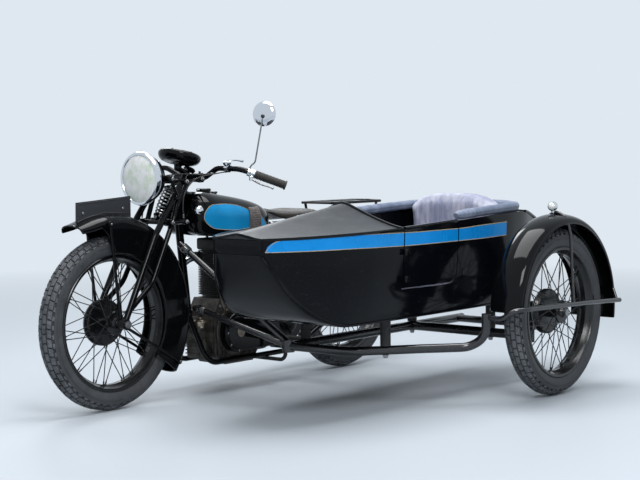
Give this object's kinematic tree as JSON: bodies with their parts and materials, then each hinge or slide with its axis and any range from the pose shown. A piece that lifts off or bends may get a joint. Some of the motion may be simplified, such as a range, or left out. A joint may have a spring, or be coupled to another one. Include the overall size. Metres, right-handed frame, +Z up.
{
  "type": "sidecar motorcycle",
  "caption": "Vintage motorcycle with girder fork, wire wheels, saddle tank and an open touring sidecar on its left side, with steering, rolling wheels and a hinged sidecar door.",
  "frame": {"origin": "on the floor under the middle of the whole outfit's box", "axes": "+X forward along the motorcycle, +Y to its left, towards the sidecar, +Z up"},
  "size_m": [2.236, 1.6661, 1.1636],
  "materials": {
    "black_enamel": "gloss black stoving enamel",
    "deck_enamel": "satin black enamel, weathered",
    "chassis_paint": "brown-black paint with surface rust",
    "cast_aluminium": "as-cast, oily",
    "cast_iron": "black-painted cast iron",
    "chrome": "chrome plate",
    "bright_steel": "plain steel",
    "spring_steel": "dark spring steel",
    "wheel_enamel": "black enamel",
    "tyre_rubber": "dusty tyre rubber",
    "black_rubber": "moulded rubber",
    "lamp_glass": "fluted lamp glass",
    "saddle_leather": "dark leather",
    "blue_leather": "worn blue-lilac leather"
  },
  "bodies": {
    "outfit": {"bike_frame": "black_enamel", "engine_crankcase": "cast_aluminium", "engine_cylinder": "cast_iron", "gearbox": "cast_aluminium", "primary_chaincase": "black_enamel", "drive_chain": "bright_steel", "dynamo": "cast_iron", "carburettor": "cast_aluminium", "exhaust_system": "chrome", "fuel_tank": "black_enamel", "knee_grips": "black_rubber", "saddle": "saddle_leather", "saddle_springs": "spring_steel", "oil_tank": "black_enamel", "toolbox": "black_enamel", "rear_mudguard": "black_enamel", "rear_carrier": "black_enamel", "tail_lamp": "black_enamel", "footrests": "black_rubber", "rear_axle": "bright_steel", "sidecar_hull": "black_enamel", "sidecar_deck": "deck_enamel", "sidecar_tail_deck": "deck_enamel", "cockpit_roll": "blue_leather", "sidecar_seat": "blue_leather", "sidecar_backrest": "blue_leather", "sidecar_chassis": "chassis_paint", "sidecar_mounts": "black_rubber", "sidecar_axle": "bright_steel", "sidecar_mudguard": "black_enamel", "mudguard_bar": "chassis_paint", "sidecar_lamp": "chrome"},
    "steering": {"steering_stem": "black_enamel", "girder_fork": "black_enamel", "fork_spring": "spring_steel", "headlamp_shell": "black_enamel", "headlamp_glass": "lamp_glass", "instrument_pod": "black_enamel", "handlebar": "black_enamel", "handlebar_grips": "black_rubber", "hand_levers": "chrome", "mirror": "chrome", "front_mudguard": "black_enamel", "front_mudguard_stays": "black_enamel", "front_plate": "black_enamel", "front_axle": "bright_steel"},
    "front_wheel": {"front_tyre": "tyre_rubber", "front_wire_wheel": "wheel_enamel"},
    "rear_wheel": {"rear_tyre": "tyre_rubber", "rear_wire_wheel": "wheel_enamel"},
    "sidecar_wheel": {"sidecar_tyre": "tyre_rubber", "sidecar_wire_wheel": "wheel_enamel"},
    "sidecar_door": {"door_panel": "black_enamel"}
  },
  "joints": [
    {"name": "steering_head", "type": "hinge", "parent": "outfit", "child": "steering", "pos_m": [0.414, -0.43, 0.78], "axis": [-0.4848, 0, 0.8746], "range_deg": [-35, 35]},
    {"name": "front_wheel_roll", "type": "hinge", "parent": "steering", "child": "front_wheel", "pos_m": [0.788, -0.43, 0.33], "axis": [0, 1, 0], "continuous": true},
    {"name": "rear_wheel_roll", "type": "hinge", "parent": "outfit", "child": "rear_wheel", "pos_m": [-0.618, -0.43, 0.33], "axis": [0, 1, 0], "continuous": true},
    {"name": "sidecar_wheel_roll", "type": "hinge", "parent": "outfit", "child": "sidecar_wheel", "pos_m": [-0.522, 0.723, 0.33], "axis": [0, 1, 0], "continuous": true},
    {"name": "door_hinge", "type": "hinge", "parent": "outfit", "child": "sidecar_door", "pos_m": [0.1905, 0.517, 0.585], "axis": [0, 0, -1], "range_deg": [0, 75]}
  ]
}
